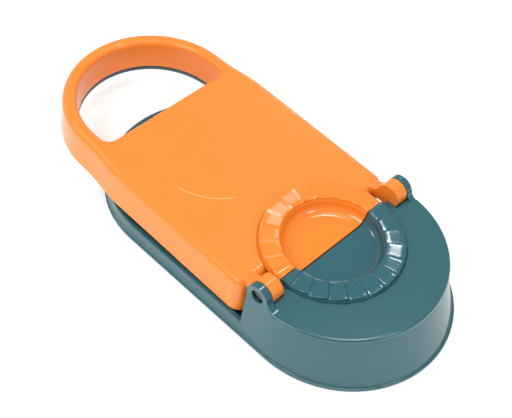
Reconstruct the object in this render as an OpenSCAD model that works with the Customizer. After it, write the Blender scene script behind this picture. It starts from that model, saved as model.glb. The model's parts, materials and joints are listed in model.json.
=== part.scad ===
// Hand press for filled dough: a flat press that flattens a round wrapper
// and, at the hinge end, a folding half-moon mould with crimped rims.
// Two long shells share one hinge line. Closed, the lid lies on the base.
// Swung right over, its half of the mould folds onto the other half.
// +X points to the mould end, the handle is at -X, +Z is up, Z = 0 is the table.

/* [Hinge] */
// Height of the hinge line above the table
hinge_z = 37.4; // [36.5:0.1:40]
// Radius of the rounded lugs and knuckles round the hinge line
knuckle_r = 7.2; // [6:0.1:8]
// Length of each lid knuckle along the hinge line
knuckle_w = 7.8; // [6:0.2:9]
// Thickness of each hinge lug of the base
lug_t = 4; // [3:0.2:6]
// Radius of the lug bores
bore_r = 4; // [3:0.1:4.4]
// Radial running clearance of the stub pins in their bores
pin_clear = 0.08; // [0.03:0.01:0.1]
// How far the pin ends sit back from the outer lug faces
pin_recess = 1.2; // [0.5:0.1:2]
// Clear space between moving faces beside the hinge
side_gap = 0.45; // [0.3:0.05:0.8]
// Clear space round the knuckles in their platform slots
slot_gap = 0.7; // [0.5:0.1:1]

/* [Base] */
// Half width of the base over the hinge lugs, at the top of the walls
base_half_w = 57.5; // [55:0.5:66]
// Height of the mould platform
platform_z = 34.6; // [33.5:0.1:35.2]
// Centre of the round platform edge in front of the hinge line
drum_x = 6.6; // [4:0.2:9]
// How far the front wall leans forward towards the foot
drum_lean = 7; // [0:0.2:9]
// Distance from the hinge line back to the centre of the round rear end
rear_x = 94.4; // [88:0.2:105]
// Height of the rim that the lid closes onto
rim_z = 9.9; // [9.4:0.1:11]
// Thickness of the base walls
base_wall = 2.6; // [2:0.1:3.2]
// Thickness of the platform and of the tray floor
base_floor = 2.3; // [1.8:0.1:3]
// Height of the upper face of the tray floor
tray_z = 4.6; // [4:0.1:5]
// Outward lean of the side walls from the platform to the foot
side_lean = 2.8; // [0:0.1:4]
// Outward flare of the foot flange
foot_flare = 1.9; // [0.5:0.1:3]
// Height over which the foot flares out
flare_h = 7; // [4:0.5:7.4]
// Height of the straight edge of the foot flange
foot_edge = 1.6; // [1:0.1:2.5]
// Height of the overhanging edge of the platform
lip_h = 3; // [2:0.1:5]
// Overhang of the platform edge beyond the wall below it
lip_out = 1.5; // [0.4:0.1:2]
// Radius of the rounded upper edge of the platform
lip_round = 1.4; // [0.5:0.1:1.6]
// Radius of the fillets at the foot of each lug
lug_fillet = 5; // [2:0.5:7]
// Height of the stiffening ribs under the platform
rib_h = 6; // [3:0.5:8]
// Thickness of all stiffening ribs
rib_t = 1.6; // [1:0.1:2.2]

/* [Feet] */
// Radius of the four foot pads
foot_r = 6; // [4:0.5:7]
// How far the pads stand out below the base
foot_out = 0.6; // [0.3:0.1:1.2]
// Depth of the sockets that hold the pads
foot_socket = 1.4; // [0.8:0.1:2]

/* [Lid] */
// Height of the flat top of the lid when closed
lid_top = 33.4; // [32:0.1:35]
// How far the lower edge of the lid stands back from the side of the rim
lid_inset = 1.8; // [0.3:0.1:3]
// Thickness of the lid walls
lid_wall = 2.4; // [1.8:0.1:3]
// Inward draft of the lid skirt from its lower edge to the top
lid_draft = 1.2; // [0:0.1:1.8]
// Radius of the rounded upper edge
edge_r = 4.5; // [2:0.25:5.5]
// Radius of the upright corners at the hinge end
corner_r = 8; // [7:0.5:12]
// Gap between the lid skirt and the rim of the base
seam_gap = 0.4; // [0.3:0.05:0.8]
// Gap between the hinge line and the front wall of the lid
lid_front = 9.6; // [9.5:0.1:11]
// Radius of the concave root where a knuckle rises from the lid
root_r = 7; // [4:0.5:9]

// Angle by which the lid stands open in the drawn position
lid_tilt = 1.8; // [0:0.1:3]

/* [Handle] */
// Distance from the hinge line to the centre of the handle bow
handle_x = 143.9; // [135:0.1:160]
// Step from the side of the lid in to the handle bow
waist_step = 3.1; // [1:0.1:6]
// Width of the handle bow
bow_w = 10; // [9:0.1:14]
// Distance from the hinge line to the straight edge of the finger opening
grip_edge_x = 132.5; // [125:0.1:136]
// Radius of the corners of the finger opening
grip_corner_r = 6; // [5:0.5:9]
// Radius of the rounded upper edge of the finger opening
grip_edge_r = 3.4; // [1.5:0.1:4.5]
// Length over which the side runs in to the handle bow
waist_l = 36; // [16:1:44]

/* [Liner] */
// Thickness of the liner that closes the lid from below
liner_t = 2.4; // [1.8:0.1:3]
// Clearance between liner and lid walls
liner_gap = 0.3; // [0.2:0.05:0.6]
// Shadow gap between the finger opening wall and the liner
liner_shadow = 0.5; // [0.3:0.1:1]

/* [Wrapper press] */
// Distance from the hinge line to the centre of the round press
press_x = 86; // [80:0.5:87]
// Radius of the raised dough plate
dough_r = 39.5; // [34:0.5:42]
// Height of the dough plate above the tray floor
dough_h = 3.2; // [3:0.1:3.6]
// Thickness of the dough plate and its rim
plate_wall = 2; // [1.6:0.1:2.4]
// Radial gap between the dough plate and the press ring
press_gap = 1.2; // [0.6:0.1:2]
// Radial width of the press ring
press_ring_w = 2.4; // [1.6:0.1:4]
// Distance by which the press ring reaches below the liner
press_ring_h = 5; // [3:0.1:5.4]
// Thickness of the pressed wrapper
wrapper_t = 1.2; // [0.8:0.1:2]

/* [Mould] */
// Inner radius of the crimped rim
rim_in = 28.7; // [26:0.1:31]
// Outer radius of the crimped rim
rim_out = 39.9; // [38:0.1:42]
// Number of pleats round the full rim, an odd number
pleats = 23; // [19:2:27]
// Rise of each pleat at the middle of the rim
pleat_rise = 1.4; // [0.8:0.1:2]
// Gap left for the dough between the two rims when folded
crimp_gap = 0.6; // [0.5:0.05:1]
// Depth of the mould bowl below the hinge line
bowl_depth = 8.6; // [7:0.1:11]
// Radius between the bowl floor and its wall
bowl_fillet = 6; // [4:0.5:6.5]
// Thickness of the bowl wall
bowl_wall = 2; // [1.6:0.1:2.6]
// Gap between the two mould halves along the hinge line
split_gap = 0.6; // [0.4:0.05:1]

/* [Hidden] */
$fn = 96;
eps = 0.01;
past = 5;
seam_z = rim_z + seam_gap;
lid_half_w = base_half_w + wall_lean(rim_z) - lid_inset;
handle_r = lid_half_w - waist_step;
foot_half_w = base_half_w + side_lean + foot_flare;
foot_front = drum_x + drum_lean + foot_half_w;
drum_flare = foot_flare + drum_lean * (foot_edge + flare_h) / platform_z;
handle_end = (handle_x + handle_r) * cos(lid_tilt) + (hinge_z - seam_z) * sin(lid_tilt);
lip_x = knuckle_r + lug_fillet - 1;
hinge_x = (handle_end - foot_front) / 2;
lug_in = base_half_w - lug_t;
knuckle_out = lug_in - side_gap;
knuckle_in = knuckle_out - knuckle_w;
slot_r = knuckle_r + slot_gap;
slot_in = knuckle_in - side_gap;
wall_back = split_gap;
bow_in = handle_r - bow_w;
liner_z = seam_z + liner_t;
rim_mid = (rim_in + rim_out) / 2;
rim_base = hinge_z - crimp_gap / 2 - pleat_rise;
pleat_a = 360 / pleats;
seat_r = rim_in + bowl_wall;

// Everything is drawn about the hinge line and moved so that the origin
// is under the middle of the whole object.
module placed() {
    translate([hinge_x, 0, 0]) children();
}

// The lid is drawn closed and then swung open a little about the hinge line.
module swung() {
    placed() translate([0, 0, hinge_z]) rotate([0, lid_tilt, 0]) translate([0, 0, -hinge_z]) children();
}

module both_sides() {
    children();
    mirror([0, 1, 0]) children();
}

// A profile in Y and Z drawn out along X.
module along_x(from, to) {
    translate([from, 0, 0]) rotate([90, 0, 90]) linear_extrude(to - from) children();
}

// A profile in X and Z drawn out along Y.
module along_y(from, to) {
    translate([0, to, 0]) rotate([90, 0, 0]) linear_extrude(to - from) children();
}

// A round bar on the hinge line.
module hinge_bar(r, from, to) {
    translate([0, from, hinge_z]) rotate([-90, 0, 0]) cylinder(r = r, h = to - from);
}

// ---- Base ----

// Outer line of the flared foot flange, from its top down to its edge.
function foot_line(flare) = concat(
    [for (a = [0:15:75]) [side_lean + foot_flare - flare * cos(a), foot_edge + flare_h * (1 - sin(a))]],
    [[side_lean + foot_flare, foot_edge], [side_lean + foot_flare, foot_out]]);

// Outer line of a base wall: how far it stands out at each height.
function wall_line(top) = concat([[0, top]], foot_line(foot_flare));

function wall_lean(z) = side_lean * (platform_z - z) / (platform_z - foot_edge - flare_h);

function rim_line() = concat([[wall_lean(rim_z) - 0.4, rim_z], [wall_lean(rim_z), rim_z - 0.4]],
    foot_line(foot_flare));

// Solid section from the middle out to the wall line.
module half_section(line, half) {
    polygon(concat([[0, foot_out]], [[0, line[0][1]]], [for (p = line) [half + p[0], p[1]]]));
}

module base_straight(from, to, line) {
    both_sides() along_x(from, to) half_section(line, base_half_w);
}

// A cone that leans forward under the round platform edge. A leaning cone is
// longer than wide where it is cut level, so it is set back by the difference.
module drum_cone(top_r, foot_r, low, high) {
    long = platform_z + 4 * past;
    lean_a = atan(drum_lean / platform_z);
    flare_a = atan((foot_r - top_r) / platform_z);
    back = top_r * (cos(flare_a) / cos(lean_a + flare_a) - 1);
    intersection() {
        translate([drum_x - back, 0, platform_z]) rotate([0, -lean_a, 0])
            translate([0, 0, -long])
            cylinder(r1 = top_r + (foot_r - top_r) * long / platform_z, r2 = top_r, h = long);
        translate([drum_x, -2 * base_half_w, low])
            cube([2 * base_half_w, 4 * base_half_w, high - low]);
    }
}

// The rounded edge that overhangs the wall round the front of the platform.
module platform_lip() {
    reach = base_half_w + lip_out;
    intersection() {
        translate([drum_x, 0, platform_z - lip_h]) rotate_extrude() polygon(concat(
            [[0, 0], [base_half_w - 1, 0], [reach - lip_round / 2, 0], [reach, lip_round / 2]],
            [for (a = [0:15:90]) [reach - lip_round * (1 - cos(a)), lip_h - lip_round * (1 - sin(a))]],
            [[0, lip_h]]));
        translate([lip_x, -2 * base_half_w, 0]) cube([2 * base_half_w, 4 * base_half_w, platform_z + past]);
    }
}

// The round front: the leaning cone, a flared foot and the platform edge.
module drum_outer() {
    cone_lean = side_lean * platform_z / (platform_z - foot_edge - flare_h);
    drum_cone(base_half_w, base_half_w + cone_lean, foot_out, platform_z);
    platform_lip();
    translate([drum_x + drum_lean, 0, 0]) rotate([0, 0, -90]) rotate_extrude(angle = 180)
        half_section(foot_line(drum_flare), base_half_w);
}

module base_outer() {
    base_straight(0, drum_x + drum_lean, foot_line(foot_flare));
    translate([-rear_x, 0, 0]) rotate([0, 0, 90]) rotate_extrude(angle = 180)
        half_section(rim_line(), base_half_w);
    base_straight(-rear_x, -knuckle_r, rim_line());
    base_straight(-knuckle_r, drum_x, wall_line(platform_z));
    drum_outer();
}

// The open tray that takes the dough plate, behind the platform.
module tray_room() {
    room = base_half_w - base_wall + wall_lean(rim_z);
    translate([-rear_x, 0, tray_z]) cylinder(r = room, h = hinge_z);
    translate([-rear_x, -room, tray_z]) cube([rear_x + wall_back, 2 * room, hinge_z]);
}

// Hollow under the tray floor and the platform.
module base_hollow() {
    room = base_half_w - base_wall;
    under = tray_z - base_floor;
    translate([-rear_x, 0, -past]) cylinder(r = room, h = under + past);
    translate([-rear_x, -room, -past]) cube([rear_x + drum_x, 2 * room, under + past]);
    translate([wall_back + base_wall, -room, -past])
        cube([drum_x + drum_lean, 2 * room, platform_z - base_floor + past]);
    drum_cone(room, room + side_lean, -past, platform_z - base_floor);
}

// A hinge lug with its round top, its foot fillets and the wall below it.
module lug() {
    along_y(lug_in, base_half_w) difference() {
        union() {
            translate([-knuckle_r, tray_z - base_floor])
                square([2 * knuckle_r, hinge_z - tray_z + base_floor]);
            translate([0, hinge_z]) circle(r = knuckle_r);
            translate([knuckle_r - eps, platform_z - eps]) square(lug_fillet);
            translate([-knuckle_r - lug_fillet / 2, rim_z - 1]) square([past, lug_fillet / 2 + 1]);
        }
        translate([knuckle_r + lug_fillet, platform_z + lug_fillet]) circle(r = lug_fillet);
        translate([-knuckle_r - lug_fillet / 2, rim_z + lug_fillet / 2]) circle(r = lug_fillet / 2);
    }
}

// Ribs under the tray and the platform.
module base_ribs() {
    side = base_half_w - base_wall / 2;
    for (x = [-rear_x, -rear_x / 2]) translate([x - rib_t / 2, -side, foot_out + 0.4])
        cube([rib_t, 2 * side, tray_z - base_floor]);
    for (y = [-1, 1]) translate([-rear_x, y * press_x / 4 - rib_t / 2, foot_out + 0.4])
        cube([rear_x + wall_back, rib_t, tray_z - base_floor]);
    for (y = [-1, 1]) translate([wall_back, y * (rim_in + rim_out) / 2 - rib_t / 2,
                                 platform_z - base_floor - rib_h])
        cube([base_half_w * 0.7, rib_t, rib_h + eps]);
}

foot_places = [[-rear_x, base_half_w - 2 * foot_r], [drum_x, base_half_w - foot_r - base_wall]];

module foot_bosses() {
    top = foot_out + foot_socket + base_floor;
    both_sides() for (p = foot_places) translate([p[0], p[1], foot_out])
        cylinder(r = foot_r + 1.4, h = top - foot_out);
    both_sides() translate([drum_x - foot_r, base_half_w - foot_r - base_wall, foot_out])
        cube([2 * foot_r, foot_r + base_wall / 2, top - foot_out]);
}

module foot_disc(r, from, to) {
    both_sides() for (p = foot_places) translate([p[0], p[1], from]) cylinder(r = r, h = to - from);
}

module base_shell() {
    color("#45747c") placed() difference() {
        union() {
            difference() {
                base_outer();
                tray_room();
                base_hollow();
            }
            intersection() {
                base_ribs();
                base_outer();
            }
            foot_bosses();
            both_sides() lug();
        }
        both_sides() hinge_bar(slot_r, slot_in, lug_in);
        both_sides() hinge_bar(bore_r, lug_in - past, base_half_w + past);
        mould_seat(platform_z);
        foot_disc(foot_r, -past, foot_out + foot_socket);
    }
}

module foot_pads() {
    color("#c9ccc8") placed() foot_disc(foot_r, 0, foot_out + foot_socket);
}

// Round raised plate in the tray on which the dough is flattened, a shallow cap.
module dough_plate() {
    edge = 0.8;
    room_r = dough_r - plate_wall;
    room_h = dough_h - plate_wall;
    color("#45747c") placed() translate([-press_x, 0, tray_z]) rotate_extrude() polygon([
        [0, room_h], [room_r, room_h], [room_r, 0], [dough_r, 0],
        [dough_r, dough_h - edge], [dough_r - edge, dough_h], [0, dough_h]]);
}

// ---- Mould ----

// Inner line of the bowl from the middle of its floor up to the rim.
function bowl_line(r, floor, fillet) = concat([[0, floor]],
    [for (a = [0:10:90]) [r - fillet + fillet * sin(a), floor + fillet * (1 - cos(a))]]);

// Radius under the bowl; its wall stands upright where the shell holds it.
function under_fillet(seat) = min(bowl_fillet + bowl_wall, seat - hinge_z + bowl_depth + bowl_wall - 0.3);

// seat is the height of the face that the rim stands on.
module bowl_profile(seat) {
    floor = hinge_z - bowl_depth;
    outer = bowl_line(seat_r - 0.2, floor - bowl_wall, under_fillet(seat));
    polygon(concat(bowl_line(rim_in - 0.8, floor, bowl_fillet),
        [[rim_in, rim_base], [rim_out, rim_base], [rim_out, seat], [seat_r - 0.2, seat]],
        [for (i = [len(outer) - 1:-1:0]) outer[i]]));
}

// Room that a mould half takes in the shell that carries it.
module mould_seat(seat) {
    rotate_extrude() polygon(concat([[0, hinge_z + past]],
        bowl_line(seat_r, hinge_z - bowl_depth - bowl_wall - 0.2, under_fillet(seat)),
        [[seat_r, hinge_z + past]]));
}

// One flat pleat of the rim, rising towards its far edge; its low end lies
// under the high end of the pleat before it.
module pleat(end) {
    tilt = atan(pleat_rise / (rim_mid * sin(pleat_a)));
    reach = rim_out + past;
    top = hinge_z - crimp_gap / 2 + pleat_rise / 2;
    turn = pleat_a * 1.25;
    intersection() {
        rotate([0, 0, end - turn]) translate([0, 0, rim_base - 1]) linear_extrude(pleat_rise * 3)
            polygon([[past, 0], [reach, 0], [reach * cos(turn), reach * sin(turn)],
                     [past * cos(turn), past * sin(turn)]]);
        rotate([0, 0, end]) translate([0, 0, top]) rotate([tilt, 0, 0])
            translate([0, -reach, -reach]) cube([reach, 2 * reach, reach]);
    }
}

module rim_ring() {
    translate([0, 0, rim_base - 0.5]) difference() {
        cylinder(r = rim_out, h = pleat_rise * 3);
        translate([0, 0, -1]) cylinder(r = rim_in, h = pleat_rise * 4);
    }
}

// Half of the mould: bowl, rim and the pleats with ends at the given angles.
module mould_half(turn, ends, seat) {
    intersection() {
        rotate([0, 0, turn + 180]) union() {
            rotate_extrude() bowl_profile(seat);
            intersection() {
                rotate([0, 0, -turn - 180]) union() for (e = ends) pleat(e);
                rim_ring();
            }
        }
        rotate([0, 0, turn]) translate([split_gap / 2, -rim_out - past, 0])
            cube([rim_out + past, 2 * (rim_out + past), hinge_z + past]);
    }
}

half_count = (pleats + 1) / 2;

module base_mould() {
    color("#3f7078") placed() mould_half(0, [for (i = [0:half_count - 1]) 90 - i * pleat_a], platform_z);
}

module lid_mould() {
    color("#fb9a45") swung() mould_half(180, [for (i = [1:half_count]) 90 + i * pleat_a], lid_top);
}

// ---- Lid ----

// Section of the lid skirt: outer wall, rounded edge and a strip of the top.
// s = 0 is the outer face at the lower edge, inwards is negative.
function skirt(reach) = concat(
    [[0, seam_z]],
    [for (a = [0:15:90]) [-lid_draft - edge_r + edge_r * cos(a), lid_top - edge_r + edge_r * sin(a)]],
    [[-reach, lid_top], [-reach, lid_top - lid_wall]],
    [for (a = [90:-15:0]) [-lid_draft - edge_r + (edge_r - lid_wall) * cos(a),
                           lid_top - edge_r + (edge_r - lid_wall) * sin(a)]],
    [[-lid_wall, seam_z]]);

// Section of the wall round the finger opening, n = 0 is the opening's face.
function grip_wall(reach) = concat(
    [[0, liner_z + liner_shadow]],
    [for (a = [180:-15:90]) [grip_edge_r + grip_edge_r * cos(a),
                             lid_top - grip_edge_r + grip_edge_r * sin(a)]],
    [[reach, lid_top], [reach, lid_top - lid_wall]],
    [for (a = [90:15:180]) [grip_edge_r + (grip_edge_r - lid_wall) * cos(a),
                            lid_top - grip_edge_r + (grip_edge_r - lid_wall) * sin(a)]],
    [[lid_wall, liner_z + liner_shadow]]);

function turned(line, r, way) = [for (p = line) [r + way * p[0], p[1]]];

waist_r = (pow(waist_l / 2, 2) + pow(waist_step / 2, 2)) / waist_step;
waist_a = asin(waist_l / 2 / waist_r);
strip = edge_r + lid_draft + waist_step + lid_wall;

// The skirt follows the lid outline in tangent arcs and straights.
module skirt_side() {
    translate([-handle_x, handle_r + waist_r, 0]) rotate([0, 0, -90])
        rotate_extrude(angle = waist_a) polygon(turned(skirt(strip), waist_r, -1));
    translate([-handle_x + waist_l, lid_half_w - waist_r, 0]) rotate([0, 0, 90])
        rotate_extrude(angle = waist_a) polygon(turned(skirt(strip), waist_r, 1));
    along_x(-handle_x + waist_l, -lid_front - corner_r)
        polygon(turned(skirt(strip), lid_half_w, 1));
    translate([-lid_front - corner_r, lid_half_w - corner_r, 0])
        rotate_extrude(angle = 90) polygon(turned(skirt(corner_r), corner_r, 1));
}

module skirt_wall() {
    translate([-handle_x, 0, 0]) rotate([0, 0, 90])
        rotate_extrude(angle = 180) polygon(turned(skirt(bow_w - grip_edge_r - 0.3), handle_r, 1));
    difference() {
        both_sides() skirt_side();
        translate([0, 0, lid_top - past]) linear_extrude(2 * past) grip_outline(grip_edge_r);
    }
    along_y(-lid_half_w + corner_r, lid_half_w - corner_r)
        polygon(turned(skirt(strip), -lid_front, 1));
}

grip_bend_x = grip_edge_x + grip_corner_r;
grip_y = bow_in - grip_corner_r;

// The wall round the finger opening: bow, two corners and the straights.
module grip_ring() {
    wall = grip_wall(grip_edge_r + 1.5);
    translate([-handle_x, 0, 0]) rotate([0, 0, 90])
        rotate_extrude(angle = 180) polygon(turned(wall, bow_in, 1));
    both_sides() along_x(-handle_x, -grip_bend_x) polygon(turned(wall, bow_in, 1));
    both_sides() translate([-grip_bend_x, grip_y, 0])
        rotate_extrude(angle = 90) polygon(turned(wall, grip_corner_r, 1));
    along_y(-grip_y, grip_y) polygon(turned(wall, -grip_edge_x, 1));
}

// Outline of the finger opening, grown outwards by a distance.
module grip_outline(grow) {
    big = bow_in + grow;
    translate([-handle_x, 0]) difference() {
        circle(r = big);
        translate([0, -big - past]) square([big + past, 2 * (big + past)]);
    }
    translate([-handle_x - past, -big]) square([handle_x - grip_bend_x + past, 2 * big]);
    for (y = [-1, 1]) translate([-grip_bend_x, y * grip_y]) circle(r = grip_corner_r + grow);
    translate([-handle_x - past, -grip_y]) square([handle_x + past - grip_edge_x + grow, 2 * grip_y]);
}

// Lid outline pulled inwards by a distance.
module lid_outline(inset) {
    half = lid_half_w - inset;
    translate([-handle_x, 0]) circle(r = handle_r - inset);
    translate([-handle_x, -(handle_r - inset)])
        square([handle_x - lid_front - corner_r, 2 * (handle_r - inset)]);
    translate([-handle_x + waist_l, -half])
        square([handle_x - waist_l - lid_front - corner_r, 2 * half]);
    translate([-handle_x + waist_l, -lid_half_w + corner_r])
        square([handle_x - waist_l - lid_front - inset, 2 * (lid_half_w - corner_r)]);
    for (y = [-1, 1]) translate([-lid_front - corner_r, y * (lid_half_w - corner_r)])
        circle(r = corner_r - inset);
}

module lid_top_plate() {
    translate([0, 0, lid_top - lid_wall]) linear_extrude(lid_wall) difference() {
        lid_outline(edge_r + lid_draft);
        grip_outline(grip_edge_r);
    }
}

// Knuckle with its concave root on the lid and its stub pin.
module knuckle() {
    drop = hinge_z - lid_top;
    root_x = sqrt(pow(knuckle_r + root_r, 2) - pow(root_r - drop, 2));
    touch = knuckle_r / (knuckle_r + root_r);
    edge_x = lid_front + lid_draft + edge_r;
    hinge_bar(knuckle_r, knuckle_in, knuckle_out);
    hinge_bar(bore_r - pin_clear, knuckle_out - eps, base_half_w - pin_recess);
    along_y(knuckle_in, knuckle_out) translate([0, hinge_z]) difference() {
        union() {
            polygon([[-root_x, -drop], [-root_x * touch, (root_r - drop) * touch], [0, 0], [0, -drop]]);
            translate([-lid_front - lid_wall / 2, -knuckle_r]) square([lid_front + lid_wall / 2, knuckle_r]);
            translate([-edge_x, -knuckle_r]) square([edge_x, knuckle_r - drop]);
        }
        translate([-root_x, root_r - drop]) circle(r = root_r);
    }
}

// Ribs that carry the liner; the round one shows as a faint mark on top.
module lid_ribs() {
    high = lid_top - lid_wall / 2 - liner_z;
    translate([-press_x, 0, liner_z]) difference() {
        cylinder(r = dough_r, h = high);
        translate([0, 0, -1]) cylinder(r = dough_r - rib_t, h = high + 2);
    }
    for (y = [-1, 1]) translate([-grip_edge_x - lid_wall / 2, y * (dough_r - rib_t / 2) - rib_t / 2, liner_z])
        cube([grip_edge_x - press_x, rib_t, high]);
}

module lid_shell() {
    color("#fd9e4c") swung() difference() {
        union() {
            skirt_wall();
            lid_top_plate();
            grip_ring();
            lid_ribs();
            both_sides() knuckle();
        }
        mould_seat(lid_top);
    }
}

module lid_liner() {
    color("#5d8288") swung() translate([0, 0, seam_z]) linear_extrude(liner_t) difference() {
        lid_outline(lid_wall + liner_gap);
        grip_outline(0);
    }
}

// Round press plate under the liner with the ring that bounds the wrapper.
module press_plate() {
    ring_in = dough_r + press_gap;
    plate_low = tray_z + dough_h + wrapper_t;
    color("#45747c") swung() translate([-press_x, 0, 0]) rotate_extrude() polygon([
        [0, plate_low], [dough_r - 1, plate_low], [ring_in, seam_z - 1],
        [ring_in, seam_z - press_ring_h], [ring_in + press_ring_w, seam_z - press_ring_h],
        [ring_in + press_ring_w, seam_z], [0, seam_z]]);
}

base_shell();
base_mould();
dough_plate();
foot_pads();
lid_shell();
lid_mould();
lid_liner();
press_plate();
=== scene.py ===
# %% [markdown]
# # A hinged press for filled dough
# The press is two long plastic mouldings on one hinge line. The teal base stands on the table
# and the orange lid lies on it. At the hinge end both carry half of a round folding mould with
# a pleated rim. The frame already holds every piece at its true size and place. This file dresses
# it: it adds moulded-plastic finishes, rounds the edges as a mould tool leaves them, and builds
# the two pleated mould halves as fine meshes. One unit is a metre, so sizes are given in MM.

import json
import math

import bmesh
import bpy
from mathutils import Matrix, Vector


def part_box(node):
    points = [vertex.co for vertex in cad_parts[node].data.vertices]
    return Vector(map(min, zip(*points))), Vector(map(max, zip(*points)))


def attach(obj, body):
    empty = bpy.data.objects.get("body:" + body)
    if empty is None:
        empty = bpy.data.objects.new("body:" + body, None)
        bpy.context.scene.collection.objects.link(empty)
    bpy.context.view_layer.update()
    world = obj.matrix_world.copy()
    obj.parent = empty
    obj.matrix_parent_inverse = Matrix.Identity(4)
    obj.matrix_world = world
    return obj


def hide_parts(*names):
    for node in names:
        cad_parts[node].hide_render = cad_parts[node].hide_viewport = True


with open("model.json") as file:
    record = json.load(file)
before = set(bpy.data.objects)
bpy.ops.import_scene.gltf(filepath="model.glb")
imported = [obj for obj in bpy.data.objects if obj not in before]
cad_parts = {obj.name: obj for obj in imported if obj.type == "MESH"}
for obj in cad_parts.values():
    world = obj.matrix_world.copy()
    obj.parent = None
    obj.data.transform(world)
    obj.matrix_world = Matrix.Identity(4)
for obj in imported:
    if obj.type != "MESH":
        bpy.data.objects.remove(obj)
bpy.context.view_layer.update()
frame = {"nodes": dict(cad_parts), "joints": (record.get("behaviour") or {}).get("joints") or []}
nodes = frame["nodes"]
MM = 0.001
hinge = Vector(frame["joints"][0]["pos_m"])
AJAR = math.radians(-frame["joints"][0]["range_deg"][0])   # how far the lid stands open here
print("hinge line at", [round(v / MM, 2) for v in hinge], "mm")
print("lid open by", round(math.degrees(AJAR), 2), "degrees")

# %% [markdown]
# Colours are given as sRGB hex values, but a shader works in linear light. One function
# turns the one into the other. One more adds a node with its settings and its links, so that a
# material reads as a list of steps.

# %% Colour and node helpers
TEAL = "#245f68"


def linear(hex_value):
    """Linear RGBA of an sRGB hex colour such as TEAL, by the sRGB standard's own curve."""
    parts = [int(hex_value[i:i + 2], 16) / 255 for i in (1, 3, 5)]
    return [p / 12.92 if p <= 0.04045 else ((p + 0.055) / 1.055) ** 2.4 for p in parts] + [1.0]


def add(tree, kind, inputs=None, **settings):
    """A new node: settings are its properties, inputs its sockets, as a value or (node, output)."""
    node = tree.nodes.new(kind)
    for name, value in settings.items():
        setattr(node, name, value)
    for socket, value in (inputs or {}).items():
        if isinstance(value, tuple) and isinstance(value[0], bpy.types.Node):
            tree.links.new(value[0].outputs[value[1]], node.inputs[socket])
        else:
            node.inputs[socket].default_value = value
    return node


def new_material(name):
    """An empty material and its node tree."""
    material = bpy.data.materials.new(name)
    material.use_nodes = True
    material.node_tree.nodes.clear()
    return material, material.node_tree


print("teal in linear light:", [round(c, 3) for c in linear(TEAL)])

# %% [markdown]
# Both shells are injection-moulded ABS: a polished steel tool leaves a glossy skin with a very
# slight waviness, called orange peel. Handling adds hair-fine scratches that only show in the
# gloss. The pigment is a little uneven where the melt flowed. So each plastic gets three
# patterns: broad pigment clouds, a fine peel in the bump and stretched scratches in the roughness.
# A tool also leaves a small round on every edge. A Bevel node bends the normals there, so that
# the edges of the shells catch the light although their meshes stay as the frame has them.

# %% Injection-moulded ABS
CLOUD_MM = 45                     # width of a pigment cloud
PEEL_MM = 1.6                     # width of one orange-peel wave
PEEL_DEEP_MM = 0.02               # depth of such a wave
SCRATCH_MM = 0.5                  # width of a scratch, drawn coarser than real so that it shows
SCRATCH_RUN = (0.04, 1.0, 0.3)    # a scratch is 25 times as long as it is wide
SCRATCH_TURN = 0.5                # angle of the scratches to the press, in radians
SCRATCH_NOISE = (0.55, 0.75)      # the noise from which a scratch starts and where it is full
SCRATCH_DULL = 0.04               # how much rougher the skin is in a scratch
BUMP = 0.35                       # share of the peel's depth that the shading shows
ABS_IOR = 1.53
SHINE = 0.62                      # mirror share: 0.5 is bare ABS, a high-gloss grade shines more
EDGE_MM = 0.6                     # round of the tool's edges, drawn by the shading alone
LIGHT_DEPTH = (1.0, 0.35, 0.1)    # how deep red, green and blue light go into orange ABS
LIGHT_DEPTH_MM = 2.5              # the depth that a 1 stands for


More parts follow.
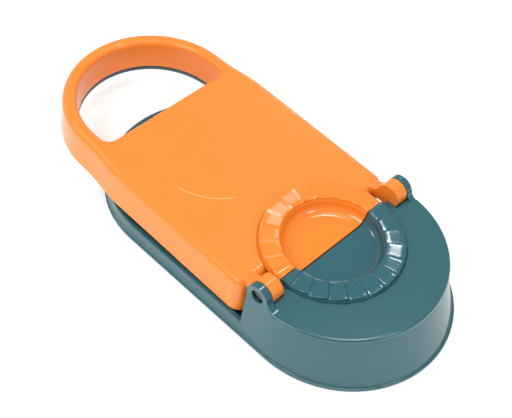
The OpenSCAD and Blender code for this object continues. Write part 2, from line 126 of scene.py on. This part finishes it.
def moulded_abs(name, colour, deep, gloss, glow=0.0, line=None, shade_mask=None, shine=SHINE):
    """Glossy moulded ABS from colour to deep; the line mask adds a low step with a painted
    highlight, the other mask a dark patch of painted shade.
    """
    material, tree = new_material(name)
    place = add(tree, "ShaderNodeTexCoord")
    cloud = add(tree, "ShaderNodeTexNoise",
                {"Vector": (place, "Object"), "Scale": 1 / (CLOUD_MM * MM), "Detail": 3.0,
                 "Roughness": 0.55, "Distortion": 0.8})
    pigment = add(tree, "ShaderNodeMix", {"Factor": (cloud, "Fac")}, data_type="RGBA")
    pigment.inputs["A"].default_value = linear(colour)
    pigment.inputs["B"].default_value = linear(deep)
    # painted shade: where that mask is one, the pigment is painted dark
    if shade_mask:
        shaded_pigment = add(tree, "ShaderNodeMix", {"Factor": shade_mask(tree, place)}, data_type="RGBA")
        tree.links.new(pigment.outputs["Result"], shaded_pigment.inputs["A"])
        shaded_pigment.inputs["B"].default_value = linear(PIN_END_SHADE)
        pigment = shaded_pigment
    along = add(tree, "ShaderNodeMapping",
                {"Vector": (place, "Object"), "Rotation": (0, 0, SCRATCH_TURN),
                 "Scale": SCRATCH_RUN})
    scratch = add(tree, "ShaderNodeTexNoise",
                  {"Vector": (along, "Vector"), "Scale": 1 / (SCRATCH_MM * MM), "Detail": 2.0})
    dull = add(tree, "ShaderNodeMapRange",
               {"Value": (scratch, "Fac"), "From Min": SCRATCH_NOISE[0],
                "From Max": SCRATCH_NOISE[1], "To Min": gloss, "To Max": gloss + SCRATCH_DULL})
    peel = add(tree, "ShaderNodeTexNoise",
               {"Vector": (place, "Object"), "Scale": 1 / (PEEL_MM * MM), "Detail": 1.0})
    height = (peel, "Fac")
    if line:
        mark = line(tree, place)
        height = (add(tree, "ShaderNodeMath", {0: mark, 1: WITNESS_DEPTH, 2: (peel, "Fac")},
                      operation="MULTIPLY_ADD"), "Value")
        # painted highlight: the step is painted pale where it faces the key light
        highlight_mix = add(tree, "ShaderNodeMix", {"Factor": mark}, data_type="RGBA")
        tree.links.new(pigment.outputs["Result"], highlight_mix.inputs["A"])
        highlight_mix.inputs["B"].default_value = linear(PAINTED_HIGHLIGHT)
        pigment = highlight_mix
    edge = add(tree, "ShaderNodeBevel", {"Radius": EDGE_MM * MM}, samples=6)
    bump = add(tree, "ShaderNodeBump",
               {"Height": height, "Strength": BUMP, "Distance": PEEL_DEEP_MM * MM,
                "Normal": (edge, "Normal")})
    skin = add(tree, "ShaderNodeBsdfPrincipled",
               {"Base Color": (pigment, "Result"), "Roughness": (dull, "Result"),
                "Normal": (bump, "Normal"), "IOR": ABS_IOR, "Specular IOR Level": shine})
    if glow:
        skin.inputs["Subsurface Weight"].default_value = glow
        skin.inputs["Subsurface Radius"].default_value = LIGHT_DEPTH
        skin.inputs["Subsurface Scale"].default_value = LIGHT_DEPTH_MM * MM
    add(tree, "ShaderNodeOutputMaterial", {"Surface": (skin, "BSDF")})
    print("material", name, "with", len(tree.nodes), "nodes")
    return material


teal_abs = moulded_abs("teal_injection_moulded_abs", TEAL, "#205a62", gloss=0.15)
teal_mould_abs = moulded_abs("teal_polished_abs_of_the_mould", "#225f69", "#1f5a64", gloss=0.11)
liner_abs = moulded_abs("teal_abs_of_the_liner", "#1c4c54", "#19474f", gloss=0.28)

# %% [markdown]
# An insert of the mould tool leaves a witness line, a hair-thin round step. On the lid a short
# stretch of one catches the key light and shows as a pale arc. It could be a groove in the mesh,
# but a step this low only shows in the skin. So the material draws it from distances in the lid's
# own plane: a shallow bump, and a painted highlight in a pale colour on the stretch that faces the
# key light. Painted, that highlight stays in place when the lid turns. Node by node the steps are:
# the distance from the middle of the insert, how near that is to the radius of the line, and on
# which side.

# %% Witness line of the lid and its painted highlight
WITNESS_X = hinge.x - 90 * MM     # middle of the insert
WITNESS_R = 37.8 * MM
WITNESS_W = 0.5 * MM              # half the width of the line
WITNESS_DEPTH = -16.0             # in waves of the orange peel
WITNESS_SIDE = (0.6, -0.8, 0.0)   # side facing the key light, where step and painted highlight are drawn
WITNESS_ENDS = (0.89, 0.95)       # cosine of the turn from that side, where it ends and is full
PAINTED_HIGHLIGHT = "#ffbe7d"                  # painted highlight on the step's lit edge


def witness_step_and_glint(tree, place):
    """One on the lit stretch of the step, where its highlight is painted, nought on the rest."""
    flat = add(tree, "ShaderNodeVectorMath",
               {0: (place, "Object"), 1: (WITNESS_X, 0, 0)}, operation="SUBTRACT")
    flat = add(tree, "ShaderNodeVectorMath",
               {0: (flat, "Vector"), 1: (1, 1, 0)}, operation="MULTIPLY")
    away = add(tree, "ShaderNodeVectorMath", {0: (flat, "Vector")}, operation="LENGTH")
    off = add(tree, "ShaderNodeMath", {0: (away, "Value"), 1: WITNESS_R}, operation="SUBTRACT")
    off = add(tree, "ShaderNodeMath", {0: (off, "Value")}, operation="ABSOLUTE")
    ring = add(tree, "ShaderNodeMapRange",
               {"Value": (off, "Value"), "From Min": 0.0, "From Max": WITNESS_W,
                "To Min": 1.0, "To Max": 0.0}, interpolation_type="SMOOTHSTEP")
    towards = add(tree, "ShaderNodeVectorMath", {0: (flat, "Vector"), 1: WITNESS_SIDE},
                  operation="DOT_PRODUCT")
    turn = add(tree, "ShaderNodeMath",
               {0: (towards, "Value"), 1: (away, "Value")}, operation="DIVIDE")
    near = add(tree, "ShaderNodeMapRange",
               {"Value": (turn, "Value"), "From Min": WITNESS_ENDS[0],
                "From Max": WITNESS_ENDS[1], "To Min": 0.0, "To Max": 1.0})
    line = add(tree, "ShaderNodeMath",
               {0: (ring, "Result"), 1: (near, "Result")}, operation="MULTIPLY")
    return (line, "Value")


print("witness line", 2 * WITNESS_W / MM, "mm wide, radius", round(WITNESS_R / MM, 1), "mm")

# %% [markdown]
# The lid has no separate hinge pin. A short round stub stands out of each knuckle and turns in a
# bore of the base's lug. Its end lies deep in the bore, in shade, and that shade is painted into
# its colour as a dark patch. A second material would need its own faces, so the lid's material
# finds the stubs by itself: near to the hinge line, and further out than the knuckles.

# %% Painted shade on the ends of the stub pins
lid_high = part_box("lid_shell")[1]
# painted shade: the dark colour of the stub pins' ends, deep in their bores
PIN_END_SHADE = "#120d09"
PIN_R = 4.0 * MM                  # radius of the bore that a stub pin runs in
KNUCKLE_IN = 5.2 * MM             # from the lid's widest place in to just past a knuckle's face
PIN_FROM = lid_high.y - KNUCKLE_IN


def pin_ends(tree, place):
    """One on the ends of the stub pins, nought on the rest of the lid."""
    off = add(tree, "ShaderNodeVectorMath",
              {0: (place, "Object"), 1: tuple(hinge)}, operation="SUBTRACT")
    flat = add(tree, "ShaderNodeVectorMath",
               {0: (off, "Vector"), 1: (1, 0, 1)}, operation="MULTIPLY")
    away = add(tree, "ShaderNodeVectorMath", {0: (flat, "Vector")}, operation="LENGTH")
    near = add(tree, "ShaderNodeMath", {0: (away, "Value"), 1: PIN_R}, operation="LESS_THAN")
    across = add(tree, "ShaderNodeSeparateXYZ", {0: (off, "Vector")})
    side = add(tree, "ShaderNodeMath", {0: (across, "Y")}, operation="ABSOLUTE")
    beyond = add(tree, "ShaderNodeMath",
                 {0: (side, "Value"), 1: PIN_FROM}, operation="GREATER_THAN")
    both = add(tree, "ShaderNodeMath",
               {0: (near, "Value"), 1: (beyond, "Value")}, operation="MULTIPLY")
    return (both, "Value")


print("stub pins start", round(PIN_FROM / MM, 2), "mm from the middle")
orange_abs = moulded_abs("orange_injection_moulded_abs", "#fd8d30", "#fb892c", gloss=0.22,
                         glow=0.14, line=witness_step_and_glint, shade_mask=pin_ends, shine=0.42)
orange_mould_abs = moulded_abs("orange_polished_abs_of_the_mould", "#fc8a24", "#fb8620",
                               gloss=0.12, glow=0.12, shine=0.5)

# %% [markdown]
# The four foot pads are cast silicone: matt, slightly milky and soft to the light. Silicone rubber
# has no gloss worth a scratch, so one fine grain does for its colour and its bump.

# %% Cast silicone
GRAIN_MM = 0.6           # width of a grain, drawn coarser than real so that it shows
GRAIN_DEEP_MM = 0.03
SILICONE_IOR = 1.41
MATT = 0.62              # roughness of rubber from an unpolished tool


def cast_silicone(name, colour, deep):
    """Matt cast rubber from colour to deep."""
    material, tree = new_material(name)
    place = add(tree, "ShaderNodeTexCoord")
    grain = add(tree, "ShaderNodeTexNoise",
                {"Vector": (place, "Object"), "Scale": 1 / (GRAIN_MM * MM), "Detail": 2.0})
    tint = add(tree, "ShaderNodeMix", {"Factor": (grain, "Fac")}, data_type="RGBA")
    tint.inputs["A"].default_value = linear(colour)
    tint.inputs["B"].default_value = linear(deep)
    bump = add(tree, "ShaderNodeBump",
               {"Height": (grain, "Fac"), "Strength": 0.3, "Distance": GRAIN_DEEP_MM * MM})
    skin = add(tree, "ShaderNodeBsdfPrincipled",
               {"Base Color": (tint, "Result"), "Roughness": MATT, "Normal": (bump, "Normal"),
                "IOR": SILICONE_IOR})
    add(tree, "ShaderNodeOutputMaterial", {"Surface": (skin, "BSDF")})
    print("material", name, "with", len(tree.nodes), "nodes")
    return material


silicone = cast_silicone("cast_milky_silicone", "#c6cac6", "#b9bdba")

# %% [markdown]
# Under the lid two straight ribs run forward from the finger opening. Their ends stand a little
# inside the opening, where the real lid shows none. The mesh of the frame stays untouched: a
# geometry nodes modifier picks the corners of those ends by their place and moves them back to
# the wall of the opening. That wall leans, so a corner moves further the higher it is.

# %% Draw back the rib ends of the lid
RIB_OUT = 4.4 * MM      # from the outside of the press ring in to the middle of a rib
RIB_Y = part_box("press_plate")[1].y - RIB_OUT
RIB_HALF = 1.0 * MM     # half the width of a rib, and a little room
END_X = hinge.x - 134.1 * MM   # where the ends are, counted back from the hinge line
END_HALF = 0.65 * MM    # the corners of an end lie this near to END_X
END_REACH = 1.26 * MM   # how far the foot of an end stands inside the opening
END_FOOT = 16.9 * MM    # height of that foot over the table
WALL_LEAN = 0.0416      # how much further forward the wall is for each unit of height


def draw_back(piece):
    """Moves the two rib ends that stand in the finger opening back to its wall."""
    group = bpy.data.node_groups.new("rib_ends_back", "GeometryNodeTree")
    for way in ("INPUT", "OUTPUT"):
        group.interface.new_socket("Geometry", in_out=way, socket_type="NodeSocketGeometry")
    start = add(group, "NodeGroupInput")
    spot = add(group, "GeometryNodeInputPosition")
    parts = add(group, "ShaderNodeSeparateXYZ", {0: (spot, "Position")})
    side = add(group, "ShaderNodeMath", {0: (parts, "Y")}, operation="ABSOLUTE")
    at_rib = add(group, "ShaderNodeMath",
                 {0: (side, "Value"), 1: RIB_Y, 2: RIB_HALF}, operation="COMPARE")
    at_end = add(group, "ShaderNodeMath",
                 {0: (parts, "X"), 1: END_X, 2: END_HALF}, operation="COMPARE")
    both = add(group, "ShaderNodeMath",
               {0: (at_rib, "Value"), 1: (at_end, "Value")}, operation="MULTIPLY")
    reach = add(group, "ShaderNodeMath",
                {0: (parts, "Z"), 1: WALL_LEAN, 2: END_REACH - WALL_LEAN * END_FOOT},
                operation="MULTIPLY_ADD")
    back = add(group, "ShaderNodeCombineXYZ", {"X": (reach, "Value")})
    move = add(group, "GeometryNodeSetPosition",
               {"Geometry": (start, "Geometry"), "Selection": (both, "Value"),
                "Offset": (back, "Vector")})
    add(group, "NodeGroupOutput", {"Geometry": (move, "Geometry")})
    piece.modifiers.new("rib_ends_back", "NODES").node_group = group
    print(piece.name, "has its rib ends at", round(RIB_Y / MM, 2), "mm drawn back")


draw_back(nodes["lid_shell"])

# %% [markdown]
# The frame's own pieces keep their shape. A mould tool has no knife edges. The two shells get
# their round from the Bevel node of the material alone, because they have thin walls and fine
# steps in which a bevel modifier leaves notches. The plainer pieces get a real round of a third
# of a millimetre. An imported mesh is split at its sharp edges, so a weld joins it first and the
# bevel can then find them.

# %% Dress the frame's pieces
FINISHES = {                        # the material, and the round of the edges in millimetres
    "base_shell": (teal_abs, 0.0),
    "dough_plate": (teal_abs, 0.3),
    "foot_pads": (silicone, 0.3),
    "lid_shell": (orange_abs, 0.0),
    "lid_liner": (liner_abs, 0.3),
    "press_plate": (liner_abs, 0.3),
}
WELD_MM = 0.002                     # corners nearer than this are one
BEVEL_FROM = math.radians(35)       # a bend of less than this isn't an edge


def soften(piece, width_mm):
    """Rounds the sharp edges of a piece by that width without touching its mesh."""
    weld = piece.modifiers.new("weld", "WELD")
    weld.merge_threshold = WELD_MM * MM
    bevel = piece.modifiers.new("soft_edges", "BEVEL")
    bevel.width = width_mm * MM
    bevel.segments = 3
    bevel.limit_method = "ANGLE"
    bevel.angle_limit = BEVEL_FROM
    bevel.harden_normals = True
    bevel.use_clamp_overlap = True


for name, (finish, width) in FINISHES.items():
    piece = nodes[name]
    piece.data.materials.clear()
    piece.data.materials.append(finish)
    if width:
        soften(piece, width)
    print(name, "in", finish.name)

# %% [markdown]
# ## The pleated mould halves
# Each half is a bowl with a wide rim. The rim is cut into flat pleats that rise one after the
# other, all the same way round, so the two rims mesh when the lid is folded over and crimp the
# dough. A pleat ends in a short drop. A real tool leaves that drop a little round, which is what
# catches the light, so the half is built as a grid: columns follow the angle, closer together at
# the drops, and rows follow the section from the middle of the bowl to the foot of the rim.
# The sizes come from the frame's own half, so the fine mesh fills the same place.

# %% Sizes of the mould, from the frame
half_low, half_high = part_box("base_mould")
SPLIT = half_low.x - hinge.x        # half of the gap between the halves
RIM_OUT = half_high.x - hinge.x
RIM_WIDE = 11.2 * MM
RIM_IN = RIM_OUT - RIM_WIDE
RIM_MID = (RIM_IN + RIM_OUT) / 2
HIGH = half_high.z                  # top of every pleat
PLEATS = 23
PLEAT = 2 * math.pi / PLEATS        # the turn that a pleat takes up
QUARTER = math.pi / 2               # a half runs from a quarter turn on one side to the other
RISE = 1.4 * MM                     # rise of a pleat at the middle of the rim
DROP_SHARE = 0.18                   # share of a pleat taken by its rounded drop
PLATFORM_Z = HIGH - 3.2 * MM        # what the rim of the base half stands on
LID_TOP_Z = HIGH - 4.4 * MM         # the same for the lid half, while the lid is shut
print("rim from", round(RIM_IN / MM, 1), "to", round(RIM_OUT / MM, 1), "mm, pleats", PLEATS)

# %% [markdown]
# Seen from above, the height of the rim's top depends on the angle alone, apart from a rise that
# grows with the radius, as on a fan. Over most of a pleat it is a straight slope. Over the drop
# it is a smoothstep, a curve that starts and ends level, which gives the drop its round.

# %% Height of a pleat
def pleat_height(angle, r):
    """Height of the rim's top: every pleat rises with the angle and ends in a rounded drop."""
    back = ((QUARTER - angle) / PLEAT) % 1.0
    half = DROP_SHARE / 2
    low = RISE * r / RIM_MID
    if half <= back <= 1 - half:
        share = (back - half) / (1 - DROP_SHARE)
    else:
        step = (back + half if back < half else back - 1 + half) / DROP_SHARE
        share = 1 - step * step * (3 - 2 * step)
    return HIGH - low * share


print("a pleat rises by", round(RISE * RIM_OUT / RIM_MID / MM, 2), "mm at the outside")

# %% [markdown]
# The section is one line of points, each a radius and a height. It runs along the floor of the
# bowl, up its wall, over the rim with two small round edges, down to the foot of the rim, and
# back under the bowl. The heights of the rim's top are counted from the pleat, the others from
# the table.

# %% The section of the mould
BOWL_WALL = 2 * MM
BOWL_LOW = half_low.z + BOWL_WALL   # floor of the bowl
BOWL_FILLET = 6 * MM
BOWL_IN = 0.8 * MM                  # the wall of the bowl stands this far inside the rim
LEAD = ((0.35 * MM, 2.5 * MM), (0.0, 2.0 * MM))   # the slope from that wall out to the rim
NEAR_ROW, FAR_ROW = 8 * MM, 15 * MM   # where the floor of the bowl has rows of its own
EDGE = 0.55 * MM                    # rounding of the rim's two top edges
ROOT = 0.9 * MM                     # fillet where the rim meets its platform
SEAT = 0.6 * MM                     # the bowl is this much wider outside, to sit in its shell
ROOM = 0.3 * MM                     # straight stretch that is left over the round of the bowl
BOWL_STEPS, EDGE_STEPS = 9, 4       # points along the bowl's round and along a small edge
TOP_ROWS = (0.3, 0.5, 0.7)          # shares of the rim's width where its top has rows


def arc(middle_r, middle_z, radius, start, end, steps):
    """Points of a round stretch of the section, angles in degrees."""
    turns = [math.radians(start + (end - start) * i / steps) for i in range(steps + 1)]
    return [(middle_r + radius * math.cos(t), middle_z + radius * math.sin(t)) for t in turns]


wall_r = RIM_IN - BOWL_IN
inside = [(r, BOWL_LOW) for r in (SPLIT, NEAR_ROW, FAR_ROW)]
inside += arc(wall_r - BOWL_FILLET, BOWL_LOW + BOWL_FILLET, BOWL_FILLET, -90, 0, BOWL_STEPS)
inside += [(RIM_IN - in_by, HIGH - down_by) for in_by, down_by in LEAD]
top = arc(RIM_IN + EDGE, -EDGE, EDGE, 180, 90, EDGE_STEPS)
top += [(RIM_IN + share * (RIM_OUT - RIM_IN), 0) for share in TOP_ROWS]
top += arc(RIM_OUT - EDGE, -EDGE, EDGE, 90, 0, EDGE_STEPS)
outer_r = wall_r + BOWL_WALL + SEAT


def below(foot_z):
    """The section from the foot of the rim, round under the bowl and back to its middle."""
    points = arc(RIM_OUT + ROOT, foot_z + ROOT, ROOT, 180, 270, EDGE_STEPS)
    points.append((outer_r, foot_z))
    curve = min(BOWL_FILLET + BOWL_WALL, foot_z - half_low.z - ROOM)
    points += arc(outer_r - curve, half_low.z + curve, curve, 0, -90, BOWL_STEPS)
    return points + [(NEAR_ROW, half_low.z), (SPLIT, half_low.z)]


print("section points:", len(inside) + len(top) + len(below(PLATFORM_Z)))

# %% [markdown]
# Each column of the grid is the section at one angle. The straight sides of the halves are a
# small way apart, so a half is a little less than half a round: every row is squeezed until its
# ends lie on that straight side. The lid half is the same grid turned half round, which also
# makes its pleats meet those of the base half, and then tipped up with the lid.

# %% Columns round the half
DROP_COLUMNS = (-0.5, -0.35, -0.2, 0.0, 0.2, 0.35, 0.5)   # in shares of a drop
FACE_COLUMNS = (0.22, 0.42, 0.62, 0.8)                    # in shares of a pleat
END_ROOM = 0.02                                           # no column this near to an end


def column_angles():
    """Angles from one end of a half to the other, dense at the drops."""
    places = [DROP_SHARE * share for share in DROP_COLUMNS] + list(FACE_COLUMNS)
    found = set()
    for i in range(-1, PLEATS):
        for place in places:
            angle = QUARTER - (i + place) * PLEAT
            if -QUARTER + END_ROOM < angle < QUARTER - END_ROOM:
                found.add(round(angle, 6))
    return [-QUARTER] + sorted(found) + [QUARTER]


print("columns:", len(column_angles()))

# %% The grid of a half
WELD_GRID = 0.001 * MM              # points nearer than this are one
ROUND_BELOW = math.radians(40)      # a bend of less than this is shaded round


def grid_spot(angle, r, z, on_pleat, turn):
    """Where a point of the section lies in the column at that angle."""
    reach = math.acos(min(1.0, SPLIT / r)) / QUARTER
    a = angle * reach
    height = z + pleat_height(a + turn, r) if on_pleat else z
    x, y = r * math.cos(a), r * math.sin(a)
    if not turn:
        return hinge + Vector((x, y, height - hinge.z))
    spot = Vector((-x, -y, height - hinge.z))
    spot.rotate(Matrix.Rotation(AJAR, 3, "Y"))
    return hinge + spot


def half_mesh(name, turn, foot_z):
    """The closed mesh of a half: a grid of columns, and its two ends."""
    section = [(r, z, False) for r, z in inside] + [(r, z, True) for r, z in top]
    section += [(r, z, False) for r, z in below(foot_z)]
    mesh = bmesh.new()
    grid = [[mesh.verts.new(grid_spot(angle, *point, turn)) for point in section]
            for angle in column_angles()]
    for column, after in zip(grid, grid[1:]):
        for j in range(len(section) - 1):
            mesh.faces.new((column[j], column[j + 1], after[j + 1], after[j]))
    mesh.faces.new(grid[0][::-1])
    mesh.faces.new(grid[-1])
    bmesh.ops.remove_doubles(mesh, verts=mesh.verts, dist=WELD_GRID)
    bmesh.ops.recalc_face_normals(mesh, faces=mesh.faces)
    data = bpy.data.meshes.new(name)
    mesh.to_mesh(data)
    mesh.free()
    data.polygons.foreach_set("use_smooth", [True] * len(data.polygons))
    data.set_sharp_from_angle(angle=ROUND_BELOW)
    return data


# %% Both halves, each on its body
def mould_half(name, turn, foot_z, finish, body, stands_for):
    """A pleated half: turn is 0 for the base half and pi for the lid half."""
    data = half_mesh(name, turn, foot_z)
    data.materials.append(finish)
    piece = bpy.data.objects.new(name, data)
    bpy.context.scene.collection.objects.link(piece)
    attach(piece, body)
    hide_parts(stands_for)
    print(name, "has", len(data.polygons), "faces")


mould_half("pleated_base_half", 0.0, PLATFORM_Z, teal_mould_abs,
           "base", "base_mould")
mould_half("pleated_lid_half", math.pi, LID_TOP_Z, orange_mould_abs,
           "lid", "lid_mould")

# %% [markdown]
# ## The studio
# A small press like this is photographed on a sheet of white acrylic that is lit from below. The
# sheet stays white where a painted table would go grey, and it sends light up the walls.

# %% Floor
FLOOR_GLOW = 0.27      # light that the sheet gives by itself
FLOOR_HALF = 3.0       # half its width
FLOOR_DROP = 0.0002    # it lies a hair under the feet


def lit_floor():
    """The sheet under the press, which isn't part of it."""
    data = bpy.data.meshes.new("studio_floor")
    corners = [(x * FLOOR_HALF, y * FLOOR_HALF, 0) for x, y in ((-1, -1), (1, -1), (1, 1), (-1, 1))]
    data.from_pydata(corners, [], [(0, 1, 2, 3)])
    material, tree = new_material("lit_white_acrylic")
    skin = add(tree, "ShaderNodeBsdfPrincipled",
               {"Base Color": linear("#fafafa"), "Roughness": 0.7,
                "Emission Color": linear("#ffffff"), "Emission Strength": FLOOR_GLOW})
    add(tree, "ShaderNodeOutputMaterial", {"Surface": (skin, "BSDF")})
    data.materials.append(material)
    floor = bpy.data.objects.new("studio_floor", data)
    floor.location.z = -FLOOR_DROP
    bpy.context.scene.collection.objects.link(floor)
    print("floor", 2 * FLOOR_HALF, "m wide")


lit_floor()

# %% [markdown]
# Glossy plastic shows its lamps, so each lamp has a task. The key comes high from the near side
# and gives the level faces their light. A wide softbox overhead evens it out. A narrow strip
# from behind draws the bright lines on the pleats and the lip, a weak one shows the far walls,
# and two small fills roll along the round ends. A white room keeps every shadow soft.

# %% Lights
LIGHTS = [             # name, place, width and watts
    ("key_softbox", (-0.1, -0.68, 0.93), 0.42, 4.4),
    ("top_softbox", (0.15, 0.0, 1.2), 0.5, 1.6),
    ("back_strip", (-0.13, 0.52, 1.29), 0.18, 2.0),
    ("far_strip", (-0.5, 0.87, 0.78), 0.22, 0.6),
    ("left_fill", (-0.67, -0.42, 0.7), 0.22, 1.0),
    ("right_fill", (0.8, 0.12, 0.75), 0.22, 1.5),
]
MIDDLE = Vector((0.0, 0.0, 0.02))   # what the lamps shine at
ROOM_LIGHT = 0.62                   # strength of the white room


def softbox(name, place, width, watts):
    """A square area light at place that shines at the middle of the press."""
    data = bpy.data.lights.new(name, "AREA")
    data.size = width
    data.energy = watts
    light = bpy.data.objects.new(name, data)
    light.location = place
    light.rotation_euler = (MIDDLE - Vector(place)).to_track_quat("-Z", "Y").to_euler()
    bpy.context.scene.collection.objects.link(light)


for lamp in LIGHTS:
    softbox(*lamp)
room = bpy.data.worlds.new("pale_room")
room.use_nodes = True
background = room.node_tree.nodes["Background"]
background.inputs["Color"].default_value = (1, 1, 1, 1)
background.inputs["Strength"].default_value = ROOM_LIGHT
bpy.context.scene.world = room
bpy.context.scene.view_settings.view_transform = "Standard"
print("lights:", len(LIGHTS))

# %% [markdown]
# ## The camera
# The photograph looks down on the press from the hinge end's near side. The place of the camera
# was solved from the press's own outlines: a long lens, high up, with the camera tipped a little.
# Three angles and a distance place it round the point that it looks at.

# %% Camera
PHOTO_W = 512              # width of the photograph in pixels
FOCAL_PX = 1101.3          # focal length in pixels of that photograph
AZIMUTH, ELEVATION, ROLL = math.radians(-49.77), math.radians(49.81), math.radians(6.49)
DISTANCE = 0.6474          # from the camera to what it looks at
AIM = Vector((0.00094, 0.00698, 0.0))
MIDDLE_PX = (0.88, 1.98)   # how far right of and below the picture's middle the lens points
outward = Vector((math.cos(ELEVATION) * math.cos(AZIMUTH),
                  math.cos(ELEVATION) * math.sin(AZIMUTH), math.sin(ELEVATION)))
level = (-outward).cross(Vector((0, 0, 1))).normalized()
upright = level.cross(-outward)
right = level * math.cos(ROLL) + upright * math.sin(ROLL)
up = upright * math.cos(ROLL) - level * math.sin(ROLL)
lens = bpy.data.cameras.new("studio_camera")
lens.sensor_width = 36.0
lens.sensor_fit = "HORIZONTAL"
lens.lens = FOCAL_PX / PHOTO_W * lens.sensor_width
lens.clip_start = 0.01
lens.shift_x, lens.shift_y = -MIDDLE_PX[0] / PHOTO_W, MIDDLE_PX[1] / PHOTO_W
camera = bpy.data.objects.new("studio_camera", lens)
camera.matrix_world = Matrix((right, up, outward)).transposed().to_4x4()
camera.location = AIM + outward * DISTANCE
bpy.context.scene.collection.objects.link(camera)
bpy.context.scene.camera = camera
print("camera at", [round(v, 3) for v in camera.location], "lens", round(lens.lens, 1), "mm")

# %% [markdown]
# The last cell hands the scene over.


print("scene handed over")
